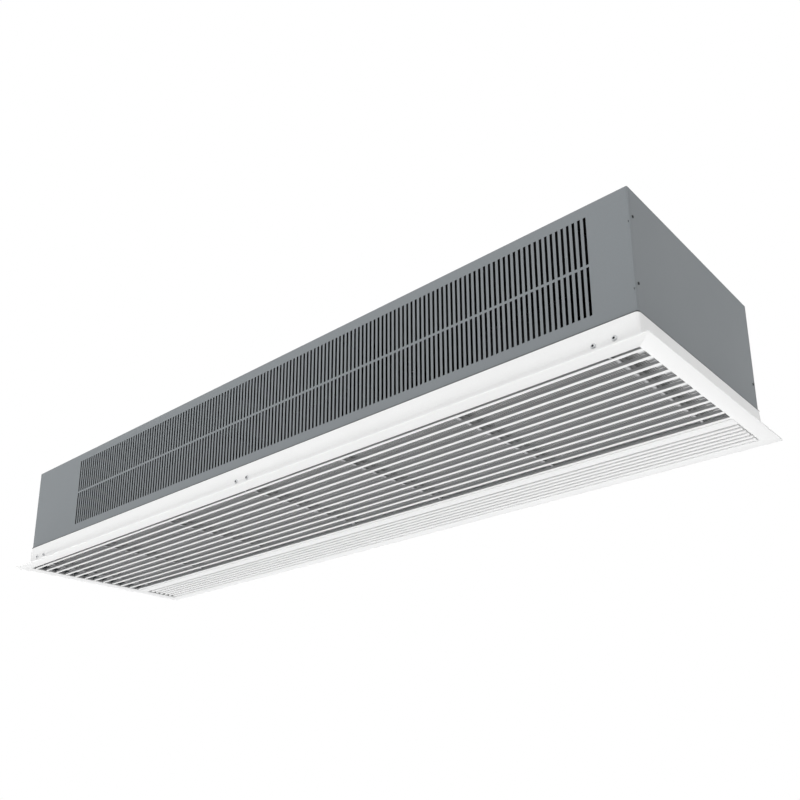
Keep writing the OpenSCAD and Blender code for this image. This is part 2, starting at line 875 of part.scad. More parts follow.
function top_rail_xs() = [-hang_x / 2, -hang_x / 6, hang_x / 6, hang_x / 2];

module hanging_holes(z, t) {
    for (sx = [-1, 1]) for (sy = [-1, 1]) translate([sx * hang_x / 2, sy * hang_y / 2, z - cut])
        cylinder(h = t + 2 * cut, r = nut_r + slip);
}

module top_rails() {
    color(zinc) difference() {
        for (x = top_rail_xs()) difference() {
            block([x - top_rail_w / 2, -in_w, rail_under], [x + top_rail_w / 2, in_w, cover_z]);
            block([x - top_rail_w / 2 + sheet, -in_w - cut, rail_under - cut],
                  [x + top_rail_w / 2 - sheet, in_w + cut, cover_z - sheet]);
        }
        hanging_holes(cover_z - sheet, sheet);
    }
}

module hanging_nuts() {
    color("#b9bcbd") for (sx = [-1, 1]) for (sy = [-1, 1])
        translate([sx * hang_x / 2, sy * hang_y / 2, 0]) difference() {
            union() {
                translate([0, 0, z_top - nut_h]) cylinder(h = nut_h - cover_drop, r = nut_r);
                translate([0, 0, z_top - cover_drop]) cylinder(h = cover_drop, r = nut_flange_r);
            }
            translate([0, 0, z_top - nut_h - cut]) cylinder(h = nut_h + 2 * cut, r = hang_bore / 2);
        }
}

module control_box() {
    low = [box_x, box_y, box_z];
    high = [box_x + box_l, box_y + box_w, rail_under];
    color(zinc) difference() {
        block(low, high);
        block(low + [sheet, sheet, -cut], high - [sheet, sheet, sheet]);
        translate([0, gland_y, gland_z]) rod_along_x(box_x - cut, sheet + 2 * cut, gland_body_r + 1);
    }
}

module control_box_lid() {
    color(zinc) block([box_x, box_y, box_z - sheet], [box_x + box_l, box_y + box_w, box_z]);
}

module circuit_board() {
    low = [box_x + board_x, box_y + board_side, box_ceiling - stand_h - board_t];
    high = [box_x + box_l - board_end, box_y + box_w - board_side, box_ceiling - stand_h];
    color("#2f6b45") {
        block(low, high);
        for (x = [low[0] + stand_in, high[0] - stand_in]) for (y = [low[1] + stand_in, high[1] - stand_in])
            translate([x, y, high[2]]) cylinder(h = stand_h, r = stand_r);
        for (k = [0:2])
            translate([box_x + coil_x + k * coil_pitch, box_y + box_w / 2 - coil[1] / 2,
                       low[2] - coil[2] + board_t / 2])
                cube(coil);
    }
}

module terminal_block() {
    color("#d9d9d2") for (k = [0:terminal_count - 1])
        translate([box_x + terminal_x, box_y + terminal_y + k * terminal[1], box_ceiling - terminal[2]])
            difference() {
                cube(terminal);
                translate([terminal[0] / 2, terminal[1] / 2, -cut])
                    cylinder(h = terminal_hole_h + cut, r = terminal_hole_r);
            }
}

module gland_hex(h) {
    rotate([0, 90, 0]) cylinder(h = h, r = gland_hex_r, $fn = 6);
}

module cable_gland() {
    color("#3a3d40") translate([0, gland_y, gland_z]) difference() {
        union() {
            rod_along_x(-half_l - cut, box_x + gland_tail + cut + half_l, gland_body_r);
            translate([-half_l - gland_hex_h, 0, 0]) gland_hex(gland_hex_h);
            rod_along_x(-half_l - gland_out, gland_cap_h + cut, gland_cap_r);
            translate([-in_l, 0, 0]) gland_hex(gland_nut_h);
        }
        rod_along_x(-half_l - gland_out - cut, gland_out + box_x + gland_tail + 2 * cut + half_l,
                    gland_bore / 2);
    }
}

front_panel();
rear_panel();
left_end_panel();
right_end_panel();
top_cover();
corner_posts();
casing_screws();
frame_front();
frame_rear();
frame_left();
frame_right();
collar_screws();
divider();
partition();
duct_floor();
grille_bars();
grille_rods();
filter_frame();
intake_filter();
hinge_brackets();
hinge_pins();
magnet_catches();
vane_1();
vane_2();
vane_3();
vane_4();
vane_5();
vane_6();
vane_strip_left();
vane_strip_right();
tie_bar();
fan_housing_1();
fan_housing_2();
fan_housing_3();
fan_wheel_1();
fan_wheel_2();
fan_wheel_3();
fan_motor_1();
fan_motor_2();
fan_motor_3();
motor_bracket_1();
motor_bracket_2();
motor_bracket_3();
top_rails();
hanging_nuts();
control_box();
control_box_lid();
circuit_board();
terminal_block();
cable_gland();
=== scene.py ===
import math

import bmesh
import bpy
from mathutils import Matrix, Vector


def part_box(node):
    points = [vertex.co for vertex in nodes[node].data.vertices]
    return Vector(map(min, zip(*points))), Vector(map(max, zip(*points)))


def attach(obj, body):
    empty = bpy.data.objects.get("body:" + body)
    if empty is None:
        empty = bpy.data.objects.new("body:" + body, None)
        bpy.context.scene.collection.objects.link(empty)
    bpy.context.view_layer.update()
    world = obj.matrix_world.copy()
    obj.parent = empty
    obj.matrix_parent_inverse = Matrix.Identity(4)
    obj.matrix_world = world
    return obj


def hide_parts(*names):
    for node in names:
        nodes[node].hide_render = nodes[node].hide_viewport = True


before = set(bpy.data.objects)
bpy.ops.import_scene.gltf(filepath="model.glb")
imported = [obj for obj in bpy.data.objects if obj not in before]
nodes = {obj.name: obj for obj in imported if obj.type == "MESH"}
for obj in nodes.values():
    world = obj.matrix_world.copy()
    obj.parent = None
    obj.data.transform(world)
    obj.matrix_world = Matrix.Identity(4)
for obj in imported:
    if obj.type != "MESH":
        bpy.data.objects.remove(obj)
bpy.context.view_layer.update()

# ------------------------------------------------------------------ studio
# The unit hangs high, so the pale floor lies well below it. Soft lamps stand in front, at
# the right, behind and above, and three broad lights come up from below. The room is white
# to the camera and to shiny surfaces.

world = bpy.data.worlds.new("studio_room")
bpy.context.scene.world = world
world.use_nodes = True
room = world.node_tree
room.nodes.clear()
room_fill = room.nodes.new("ShaderNodeBackground")
room_fill.inputs["Color"].default_value = (1.0, 1.0, 1.0, 1.0)
room_fill.inputs["Strength"].default_value = 0.10
room_seen = room.nodes.new("ShaderNodeBackground")
room_seen.inputs["Color"].default_value = (1.0, 1.0, 1.0, 1.0)
room_seen.inputs["Strength"].default_value = 1.0
ray = room.nodes.new("ShaderNodeLightPath")
camera_or_gloss = room.nodes.new("ShaderNodeMath")
camera_or_gloss.operation = "MAXIMUM"
room.links.new(ray.outputs["Is Camera Ray"], camera_or_gloss.inputs[0])
room.links.new(ray.outputs["Is Glossy Ray"], camera_or_gloss.inputs[1])
any_view = room.nodes.new("ShaderNodeMath")
any_view.operation = "MAXIMUM"
room.links.new(camera_or_gloss.outputs[0], any_view.inputs[0])
room.links.new(ray.outputs["Is Transmission Ray"], any_view.inputs[1])
room_mix = room.nodes.new("ShaderNodeMixShader")
room.links.new(any_view.outputs[0], room_mix.inputs["Fac"])
room.links.new(room_fill.outputs[0], room_mix.inputs[1])
room.links.new(room_seen.outputs[0], room_mix.inputs[2])
room_out = room.nodes.new("ShaderNodeOutputWorld")
room.links.new(room_mix.outputs[0], room_out.inputs["Surface"])


def soft_lamp(name, place, aim, size, level):
    """Soft flat lamp that gives a matt white face at its aim that level of brightness."""
    light = bpy.data.lights.new(name, "AREA")
    light.shape = "RECTANGLE"
    light.size, light.size_y = size
    to_aim = Vector(aim) - Vector(place)
    light.energy = level * math.pi ** 2 * to_aim.length_squared
    lamp = bpy.data.objects.new(name, light)
    lamp.location = place
    lamp.rotation_euler = to_aim.to_track_quat("-Z", "Y").to_euler()
    lamp.visible_camera = False
    lamp.visible_glossy = False
    bpy.context.scene.collection.objects.link(lamp)


soft_lamp("lamp_front", (-0.3, -5.2, 1.4), aim=(0.0, -0.25, 0.15), size=(4.0, 2.0), level=0.66)
soft_lamp("lamp_right", (5.0, 0.4, 0.6), aim=(1.0, 0.0, 0.15), size=(3.0, 2.4), level=0.67)
soft_lamp("lamp_back", (-0.8, 5.2, 1.6), aim=(0.0, 0.25, 0.15), size=(4.0, 3.0), level=0.74)
soft_lamp("lamp_above", (0.0, 0.0, 4.5), aim=(0.0, 0.0, 0.3), size=(4.0, 4.0), level=0.50)


def light_from_below(name, course, spread, level):
    """Broad light up through the floor, with its course, its spread in degrees and its level."""
    light = bpy.data.lights.new(name, "SUN")
    light.angle = math.radians(spread)
    light.energy = level * math.pi
    lamp = bpy.data.objects.new(name, light)
    lamp.rotation_euler = Vector(course).to_track_quat("-Z", "Y").to_euler()
    lamp.visible_glossy = False
    bpy.context.scene.collection.objects.link(lamp)


light_from_below("below_left", (0.73, 0.0, 0.68), spread=24.0, level=0.90)
light_from_below("below_middle", (0.0, 0.0, 1.0), spread=60.0, level=0.56)
light_from_below("below_front", (0.0, 0.7, 0.7), spread=40.0, level=0.52)

# The floor looks pale to the camera, throws little light back at the unit, and fades to the
# white background far out. It casts no shadow, so the lights from below pass it.
floor_size, floor_z = 40.0, -3.0
floor_thrown, floor_seen = (0.15, 0.15, 0.15, 1.0), (0.70, 0.70, 0.70, 1.0)
fade_from, fade_to = 1.0, 8.0
bpy.ops.object.select_all(action="DESELECT")
bpy.ops.mesh.primitive_plane_add(size=floor_size, location=(0.0, 0.0, floor_z))
floor = bpy.context.active_object
floor.name = "studio_floor"
floor_paint = bpy.data.materials.new("floor_paint")
floor_paint.use_nodes = True
floor_tree = floor_paint.node_tree
floor_bsdf = floor_tree.nodes["Principled BSDF"]
floor_bsdf.inputs["Roughness"].default_value = 0.9
floor_ray = floor_tree.nodes.new("ShaderNodeLightPath")
floor_tone = floor_tree.nodes.new("ShaderNodeMix")
floor_tone.data_type = "RGBA"
floor_tone.inputs["A"].default_value = floor_thrown
floor_tone.inputs["B"].default_value = floor_seen
floor_tree.links.new(floor_ray.outputs["Is Camera Ray"], floor_tone.inputs["Factor"])
floor_tree.links.new(floor_tone.outputs["Result"], floor_bsdf.inputs["Base Color"])
floor_coords = floor_tree.nodes.new("ShaderNodeTexCoord")
floor_reach = floor_tree.nodes.new("ShaderNodeVectorMath")
floor_reach.operation = "LENGTH"
floor_tree.links.new(floor_coords.outputs["Object"], floor_reach.inputs[0])
floor_fade = floor_tree.nodes.new("ShaderNodeMapRange")
floor_fade.interpolation_type = "SMOOTHSTEP"
floor_fade.inputs["From Min"].default_value = fade_from
floor_fade.inputs["From Max"].default_value = fade_to
floor_tree.links.new(floor_reach.outputs["Value"], floor_fade.inputs["Value"])
floor_glow = floor_tree.nodes.new("ShaderNodeEmission")
floor_glow.inputs["Strength"].default_value = 1.0
floor_far = floor_tree.nodes.new("ShaderNodeMath")
floor_far.operation = "MULTIPLY"
floor_tree.links.new(floor_fade.outputs["Result"], floor_far.inputs[0])
floor_tree.links.new(floor_ray.outputs["Is Camera Ray"], floor_far.inputs[1])
floor_mix = floor_tree.nodes.new("ShaderNodeMixShader")
floor_tree.links.new(floor_far.outputs[0], floor_mix.inputs["Fac"])
floor_tree.links.new(floor_bsdf.outputs[0], floor_mix.inputs[1])
floor_tree.links.new(floor_glow.outputs[0], floor_mix.inputs[2])
floor_tree.links.new(floor_mix.outputs[0], floor_tree.nodes["Material Output"].inputs["Surface"])
floor.data.materials.append(floor_paint)
floor.visible_shadow = False

# The camera looks up at the unit's right front corner, with the shift that the framing needs
camera_place = (1.5715, -1.4792, -0.7208)
azimuth, elevation, roll = math.radians(131.62), math.radians(16.43), math.radians(-0.24)
camera_data = bpy.data.cameras.new("photo_camera")
camera_data.sensor_width = 36.0
camera_data.lens = 40.77
camera_data.shift_y = 0.1875
camera = bpy.data.objects.new("photo_camera", camera_data)
bpy.context.scene.collection.objects.link(camera)
bpy.context.scene.camera = camera
forward = Vector((math.cos(elevation) * math.cos(azimuth),
                  math.cos(elevation) * math.sin(azimuth),
                  math.sin(elevation)))
level_right = forward.cross(Vector((0.0, 0.0, 1.0))).normalized()
level_up = level_right.cross(forward)
right = level_right * math.cos(roll) + level_up * math.sin(roll)
up = level_up * math.cos(roll) - level_right * math.sin(roll)
camera.matrix_world = Matrix.Translation(camera_place) @ Matrix(
    (right, up, -forward)).transposed().to_4x4()
bpy.context.scene.view_settings.view_transform = "Standard"

# ------------------------------------------------------------------ casing panels
# Folded steel sheet, powder coated in mid grey: slotted front, rear, two end panels and the
# top cover. The coat has a fine orange peel and very slight clouds in its tone. Inside the
# casing the sheet is painted near-black as painted shade, so that the slots look dark.
casing_half_l, casing_half_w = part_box("front_panel")[1].x, -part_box("front_panel")[0].y
cover_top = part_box("top_cover")[1].z
# The painted shade begins this far inside the outer faces of the ends, the long sides and the cover
end_depth, side_depth, cover_depth = 0.0024, 0.0001, 0.00005
shade_from = 0.062


def new_group(name, inputs, outputs):
    """Empty shader node group with float or vector inputs and float outputs."""
    group = bpy.data.node_groups.new(name, "ShaderNodeTree")
    for label, kind, value in inputs:
        socket = group.interface.new_socket(label, in_out="INPUT", socket_type=kind)
        if value is not None:
            socket.default_value = value
    for label in outputs:
        group.interface.new_socket(label, in_out="OUTPUT", socket_type="NodeSocketFloat")
    return group, group.nodes.new("NodeGroupInput"), group.nodes.new("NodeGroupOutput")


def scaled_noise(tree, vector, scale, factor, detail):
    """Noise whose scale is a group input times a factor."""
    size = tree.nodes.new("ShaderNodeMath")
    size.operation = "MULTIPLY"
    size.inputs[1].default_value = factor
    tree.links.new(scale, size.inputs[0])
    noise = tree.nodes.new("ShaderNodeTexNoise")
    noise.inputs["Detail"].default_value = detail
    tree.links.new(vector, noise.inputs["Vector"])
    tree.links.new(size.outputs[0], noise.inputs["Scale"])
    return noise.outputs["Fac"]


# Powder coat: Cloud is a slow change of tone, Speck a fine one, Peel the height of the skin
coat_skin, skin_in, skin_out = new_group(
    "coat_skin",
    [("Vector", "NodeSocketVector", None), ("Scale", "NodeSocketFloat", 400.0)],
    ["Cloud", "Speck", "Peel"])
for label, factor, detail in (("Cloud", 0.012, 2.0), ("Speck", 4.0, 1.0), ("Peel", 1.0, 3.0)):
    coat_skin.links.new(
        scaled_noise(coat_skin, skin_in.outputs["Vector"], skin_in.outputs["Scale"], factor, detail),
        skin_out.inputs[label])


def new_finish(name, roughness, metallic=0.0):
    """Material with its Principled shader and Object coordinates, ready for its own nodes."""
    mat = bpy.data.materials.new(name)
    mat.use_nodes = True
    tree = mat.node_tree
    bsdf = tree.nodes["Principled BSDF"]
    bsdf.inputs["Roughness"].default_value = roughness
    bsdf.inputs["Metallic"].default_value = metallic
    coords = tree.nodes.new("ShaderNodeTexCoord")
    return mat, tree, bsdf, coords.outputs["Object"]


def use_group(tree, group, vector, scale):
    """Places a shared node group in a material."""
    placed = tree.nodes.new("ShaderNodeGroup")
    placed.node_tree = group
    tree.links.new(vector, placed.inputs["Vector"])
    placed.inputs["Scale"].default_value = scale
    return placed


def ramp(tree, value, stops):
    """Colour ramp over a value; stops are (position, grey or colour)."""
    node = tree.nodes.new("ShaderNodeValToRGB")
    band = node.color_ramp
    while len(band.elements) < len(stops):
        band.elements.new(0.5)
    for element, (place, colour) in zip(band.elements, stops):
        element.position = place
        rgb = (colour,) * 3 if isinstance(colour, float) else colour
        element.color = (*rgb, 1.0)
    tree.links.new(value, node.inputs["Fac"])
    return node.outputs["Color"]


def blend(tree, mode, factor, base, other):
    """Mixes two colours; each of them, and the factor, is a socket or a value."""
    node = tree.nodes.new("ShaderNodeMix")
    node.data_type = "RGBA"
    node.blend_type = mode
    for label, value in (("Factor", factor), ("A", base), ("B", other)):
        if isinstance(value, bpy.types.NodeSocket):
            tree.links.new(value, node.inputs[label])
        elif label == "Factor":
            node.inputs[label].default_value = value
        else:
            node.inputs[label].default_value = (*value, 1.0)
    return node.outputs["Result"]


def bump(tree, bsdf, height, strength, distance):
    """Gives the surface a relief from a height, with its depth as a distance."""
    node = tree.nodes.new("ShaderNodeBump")
    node.inputs["Strength"].default_value = strength
    node.inputs["Distance"].default_value = distance
    tree.links.new(height, node.inputs["Height"])
    tree.links.new(node.outputs["Normal"], bsdf.inputs["Normal"])


def shade_inside_mask(tree, place):
    """1 within the casing's outer faces and above its lower edge, and 0 outside."""
    split = tree.nodes.new("ShaderNodeSeparateXYZ")
    tree.links.new(place, split.inputs[0])
    shade_to = cover_top - cover_depth
    mask = None
    for label, middle, reach in (("X", 0.0, casing_half_l - end_depth),
                                 ("Y", 0.0, casing_half_w - side_depth),
                                 ("Z", (shade_from + shade_to) / 2, (shade_to - shade_from) / 2)):
        near = tree.nodes.new("ShaderNodeMath")
        near.operation = "COMPARE"
        near.inputs[1].default_value = middle
        near.inputs[2].default_value = reach
        tree.links.new(split.outputs[label], near.inputs[0])
        if mask is None:
            mask = near.outputs[0]
        else:
            both = tree.nodes.new("ShaderNodeMath")
            both.operation = "MULTIPLY"
            tree.links.new(mask, both.inputs[0])
            tree.links.new(near.outputs[0], both.inputs[1])
            mask = both.outputs[0]
    return mask


def coated(name, dark, light, roughness, peel, scale=400.0, inner_shade=None, gloss=0.3):
    """Powder coat between a dark and a light tone, with its peel, and painted shade inside the
    casing.
    """
    mat, tree, bsdf, place = new_finish(name, roughness)
    skin = use_group(tree, coat_skin, place, scale)
    cloudy = blend(tree, "MIX", skin.outputs["Cloud"], dark, light)
    speck = ramp(tree, skin.outputs["Speck"], [(0.30, 0.93), (0.62, 1.0)])
    colour = blend(tree, "MULTIPLY", 1.0, cloudy, speck)
    # Inside the casing the colour becomes the painted shade
    if inner_shade is not None:
        colour = blend(tree, "MIX", shade_inside_mask(tree, place), colour, inner_shade)
    tree.links.new(colour, bsdf.inputs["Base Color"])
    satin = ramp(tree, skin.outputs["Cloud"], [(0.3, roughness - 0.04), (0.7, roughness + 0.04)])
    tree.links.new(satin, bsdf.inputs["Roughness"])
    bsdf.inputs["Specular IOR Level"].default_value = gloss
    bump(tree, bsdf, skin.outputs["Peel"], peel, 0.0002)
    return mat


def give(mat, *names):
    """These CAD nodes are finished in this material."""
    for name in names:
        slots = nodes[name].data.materials
        slots.clear()
        slots.append(mat)


# Inside the casing the coat is near-black painted shade, so the slots look dark
casing_coat = coated("casing_coat", (0.212, 0.229, 0.240), (0.226, 0.243, 0.255),
                     roughness=0.50, peel=0.25, inner_shade=(0.010, 0.010, 0.011), gloss=0.15)
give(casing_coat, "front_panel", "rear_panel", "left_end_panel", "right_end_panel", "top_cover")

# ------------------------------------------------------------------ posts, rails, inner sheets
# Angle posts, top rails, partition, duct floor, fan housings and control box are bent from
# galvanised sheet, which shows its frost-like spangle. What could be seen through the slots
# is coloured near-black as painted shade inside the casing.

# Galvanised sheet: Tone changes from crystal to crystal, Frost is the fine grain in them
zinc_spangle, zinc_in, zinc_out = new_group(
    "zinc_spangle",
    [("Vector", "NodeSocketVector", None), ("Scale", "NodeSocketFloat", 90.0)],
    ["Tone", "Frost"])
crystals = zinc_spangle.nodes.new("ShaderNodeTexVoronoi")
zinc_spangle.links.new(zinc_in.outputs["Vector"], crystals.inputs["Vector"])
zinc_spangle.links.new(zinc_in.outputs["Scale"], crystals.inputs["Scale"])
crystal_tone = zinc_spangle.nodes.new("ShaderNodeSeparateColor")
zinc_spangle.links.new(crystals.outputs["Color"], crystal_tone.inputs["Color"])
zinc_spangle.links.new(crystal_tone.outputs["Red"], zinc_out.inputs["Tone"])
zinc_spangle.links.new(
    scaled_noise(zinc_spangle, zinc_in.outputs["Vector"], zinc_in.outputs["Scale"], 14.0, 3.0),
    zinc_out.inputs["Frost"])


def galvanised(name, dark, light, roughness, scale):
    """Galvanised sheet: crystals of slightly different tone and shine."""
    mat, tree, bsdf, place = new_finish(name, roughness, 0.75)
    sheet = use_group(tree, zinc_spangle, place, scale)
    tone = blend(tree, "MIX", sheet.outputs["Tone"], dark, light)
    frost = ramp(tree, sheet.outputs["Frost"], [(0.25, 0.86), (0.75, 1.0)])
    tree.links.new(blend(tree, "MULTIPLY", 1.0, tone, frost), bsdf.inputs["Base Color"])
    shine = ramp(tree, sheet.outputs["Tone"], [(0.0, roughness - 0.1), (1.0, roughness + 0.1)])
    tree.links.new(shine, bsdf.inputs["Roughness"])
    bump(tree, bsdf, sheet.outputs["Frost"], 0.15, 0.0001)
    return mat


bright_zinc = galvanised("bright_zinc", (0.34, 0.36, 0.37), (0.46, 0.48, 0.49),
                         roughness=0.45, scale=90.0)
# Near-black zinc: painted shade on the inner sheets behind the slots
shade_black_sheet = galvanised("shade_black_sheet", (0.012, 0.012, 0.013), (0.02, 0.02, 0.021),
                         roughness=0.6, scale=110.0)
dull_zinc = galvanised("dull_zinc", (0.085, 0.095, 0.10), (0.12, 0.13, 0.14),
                       roughness=0.55, scale=110.0)
give(bright_zinc, "duct_floor", "tie_bar")
give(shade_black_sheet, "partition", "top_rails", "control_box", "control_box_lid",
     "fan_housing_1", "fan_housing_2", "fan_housing_3")
give(dull_zinc, "corner_posts", "hinge_brackets", "motor_bracket_1",
     "motor_bracket_2", "motor_bracket_3")

# ------------------------------------------------------------------ screws
# Pan-head screws, zinc plated in the collar and the top cover and blackened in the end
# panels: a domed head with a six-lobe recess in painted shade, and a threaded shank through both
# sheets.


def clear_selection():
    """Leaves edit mode and selects nothing."""
    if bpy.context.object and bpy.context.object.mode != "OBJECT":
        bpy.ops.object.mode_set(mode="OBJECT")
    bpy.ops.object.select_all(action="DESELECT")


def start_ring(name, sides, radius):
    """A circle at the origin in edit mode, from which a turned shape is pulled along Z."""
    clear_selection()
    bpy.ops.mesh.primitive_circle_add(vertices=sides, radius=1.0, location=(0.0, 0.0, 0.0))
    piece = bpy.context.active_object
    piece.name = name
    piece.data.name = name
    bpy.ops.object.mode_set(mode="EDIT")
    bpy.ops.mesh.select_mode(type="VERT")
    bpy.ops.mesh.select_all(action="SELECT")
    shape_ring(radius)
    return piece


def shape_ring(radius):
    """Sets the selected ring's radius, a number or a function of the angle."""
    ring = bmesh.from_edit_mesh(bpy.context.object.data)
    for point in ring.verts:
        if point.select:
            angle = math.atan2(point.co.y, point.co.x)
            reach = radius(angle) if callable(radius) else radius
            point.co.x, point.co.y = reach * math.cos(angle), reach * math.sin(angle)
    bmesh.update_edit_mesh(bpy.context.object.data)


def pull_ring(step, radius):
    """Extrudes the selected ring along Z by a step and gives it a new radius."""
    bpy.ops.mesh.extrude_region_move(TRANSFORM_OT_translate={"value": (0.0, 0.0, step)})
    shape_ring(radius)


def close_ring():
    """Closes the selected ring with a face."""
    bpy.ops.mesh.edge_face_add()


def finish_turned(piece, smooth=35.0):
    """Leaves edit mode with the normals outwards and round faces smooth."""
    bpy.ops.mesh.select_all(action="SELECT")
    bpy.ops.mesh.remove_doubles(threshold=0.000001)
    bpy.ops.mesh.normals_make_consistent(inside=False)
    bpy.ops.object.mode_set(mode="OBJECT")
    bpy.ops.object.shade_smooth_by_angle(angle=math.radians(smooth))


def copy_to(piece, matrix):
    """Copy of a finished shape with its own mesh, its place in the mesh."""
    twin = piece.copy()
    twin.data = piece.data.copy()
    twin.data.transform(matrix)
    bpy.context.scene.collection.objects.link(twin)
    return twin


def join_as(name, pieces, mat=None):
    """Joins pieces into one object at the origin; a material replaces their own."""
    clear_selection()
    for piece in pieces:
        piece.select_set(True)
    bpy.context.view_layer.objects.active = pieces[0]
    bpy.ops.object.join()
    whole = bpy.context.active_object
    whole.name = name
    whole.data.name = name
    if mat is not None:
        whole.data.materials.clear()
        whole.data.materials.append(mat)
    return whole


def pan_screw(name, metal, recess_shade, head_r, head_h, shank_r, shank_l):
    """Screw with its head on Z = 0 upwards and its shank downwards, the recess in painted shade."""
    recess_r = head_r * 0.42
    tip_l, tip_r, root_r = shank_r * 0.4, shank_r * 0.7, shank_r * 0.86
    turns = 5
    pitch = (shank_l - tip_l) / turns
    # The head's round top: shares of its radius, and the rise to each as a share of its height
    dome = ((0.97, 0.16), (0.90, 0.16), (0.80, 0.12), (0.68, 0.08), (0.56, 0.06))

    def lobes(angle):
        return recess_r * (0.86 + 0.14 * math.cos(6.0 * angle))

    piece = start_ring(name, 36, tip_r)
    close_ring()
    pull_ring(tip_l, shank_r)
    for turn in range(turns):
        pull_ring(pitch * 0.5, shank_r)
        pull_ring(pitch * 0.25, root_r)
        pull_ring(pitch * 0.25, shank_r)
    pull_ring(0.0, head_r * 0.96)
    pull_ring(head_h * 0.06, head_r)
    pull_ring(head_h * 0.36, head_r)
    for share, rise in dome:
        pull_ring(head_h * rise, head_r * share)
    pull_ring(0.0, recess_r * 1.08)
    pull_ring(-head_h * 0.04, lobes)
    pull_ring(-head_h * 0.50, lobes)
    pull_ring(-head_h * 0.10, recess_r * 0.3)
    close_ring()
    finish_turned(piece)
    piece.data.materials.append(metal)
    piece.data.materials.append(recess_shade)
    # The recess faces take the painted shade
    for face in piece.data.polygons:
        from_axis = math.hypot(face.center.x, face.center.y)
        if from_axis < recess_r * 1.02 and face.center.z > shank_l:
            face.material_index = 1
    piece.data.transform(Matrix.Translation((0.0, 0.0, -shank_l)))
    return piece


def turned_metal(name, dark, light, roughness, metallic=1.0):
    """Plated or blackened metal of screws, nuts and wires, with faint handling marks."""
    mat, tree, bsdf, place = new_finish(name, roughness, metallic)
    skin = use_group(tree, coat_skin, place, 900.0)
    tree.links.new(blend(tree, "MIX", skin.outputs["Peel"], dark, light), bsdf.inputs["Base Color"])
    marks = ramp(tree, skin.outputs["Speck"], [(0.2, roughness - 0.06), (0.8, roughness + 0.08)])
    tree.links.new(marks, bsdf.inputs["Roughness"])
    bump(tree, bsdf, skin.outputs["Peel"], 0.12, 0.00005)
    return mat


def screw_set(name, screw, places):
    """One object from copies of a finished screw at these places; the first screw goes."""
    screws = [copy_to(screw, place) for place in places]
    bpy.data.objects.remove(screw)
    return join_as(name, screws)


screw_plate = turned_metal("screw_plate", (0.60, 0.62, 0.63), (0.72, 0.73, 0.74), roughness=0.34)
screw_black = turned_metal("screw_black", (0.020, 0.022, 0.024), (0.035, 0.038, 0.04),
                           roughness=0.42, metallic=0.4)
nut_plate = turned_metal("nut_plate", (0.42, 0.43, 0.43), (0.55, 0.56, 0.56), roughness=0.38)
# Near-black painted shade for the screws' recesses
recess_shade_dark = turned_metal("recess_shade_dark", (0.016, 0.017, 0.018), (0.030, 0.032, 0.034),
                           roughness=0.6, metallic=0.3)
give(nut_plate, "hanging_nuts", "hinge_pins")

# Twelve screws through the collar, in pairs at both ends and in the middle of each long side,
# each stopped at its own angle
collar_wall, collar_screw_z = 0.003, 0.027
pair_middles, half_pair = (-0.9375, 0.0, 0.9375), 0.0195
places = []
for side in (-1.0, 1.0):
    for middle in pair_middles:
        for x in (middle - half_pair, middle + half_pair):
            turn = Matrix.Rotation(math.radians(90.0 * -side), 4, "X")
            spin = Matrix.Rotation(math.radians(17.0 + 800.0 * x), 4, "Z")
            on_wall = (x, side * (casing_half_w + collar_wall), collar_screw_z)
            places.append(Matrix.Translation(on_wall) @ turn @ spin)
collar_pan = pan_screw("collar_screw", screw_plate, recess_shade_dark,
                       head_r=0.005, head_h=0.0026, shank_r=0.0024, shank_l=0.007)
collar_screws = screw_set("collar_screws_turned", collar_pan, places)
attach(collar_screws, "casing")
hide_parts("collar_screws")

# Six small dark screws hold the end panels to the corner posts, two in front and one behind
post_y, low_screw_z, high_screw_z = 0.244, 0.118, 0.246
places = []
for end in (-1.0, 1.0):
    for y, z in ((-post_y, low_screw_z), (-post_y, high_screw_z), (post_y, low_screw_z)):
        turn = Matrix.Rotation(math.radians(90.0 * end), 4, "Y")
        places.append(Matrix.Translation((end * casing_half_l, y, z)) @ turn)
end_pan = pan_screw("end_screw", screw_black, recess_shade_dark,
                    head_r=0.0028, head_h=0.0016, shank_r=0.0017, shank_l=0.006)
end_screws = screw_set("end_screws_turned", end_pan, places)
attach(end_screws, "casing")
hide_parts("casing_screws")

# Twelve low-headed screws hold the top cover to the four top rails
rail_xs, cover_screw_ys = (-0.9, -0.3, 0.3, 0.9), (-0.235, 0.0, 0.235)
places = []
for x in rail_xs:
    for y in cover_screw_ys:
        spin = Matrix.Rotation(math.radians(40.0 + 90.0 * x + 200.0 * y), 4, "Z")
        places.append(Matrix.Translation((x, y, cover_top)) @ spin)
cover_pan = pan_screw("cover_screw", screw_plate, recess_shade_dark,
                      head_r=0.0036, head_h=0.00055, shank_r=0.0015, shank_l=0.004)
cover_screws = screw_set("cover_screws_turned", cover_pan, places)
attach(cover_screws, "casing")

# ------------------------------------------------------------------ white frame
# Collar and flange in four mitred lengths, white powder coat on aluminium. Their edges are
# eased a little, so a fine line shows at each mitre and along the collar's rim. The divider
# between grille and outlet has the same coat.


def ease_edges(piece, width, angle):
    """Bevels the edges that turn by more than an angle in degrees, and smooths the round ones."""
    soften = piece.modifiers.new("eased_edges", "BEVEL")
    soften.width = width
    soften.segments = 2
    soften.limit_method = "ANGLE"
    soften.angle_limit = math.radians(angle)
    bpy.ops.object.modifier_apply(modifier="eased_edges")
    bpy.ops.object.shade_smooth_by_angle(angle=math.radians(40.0))


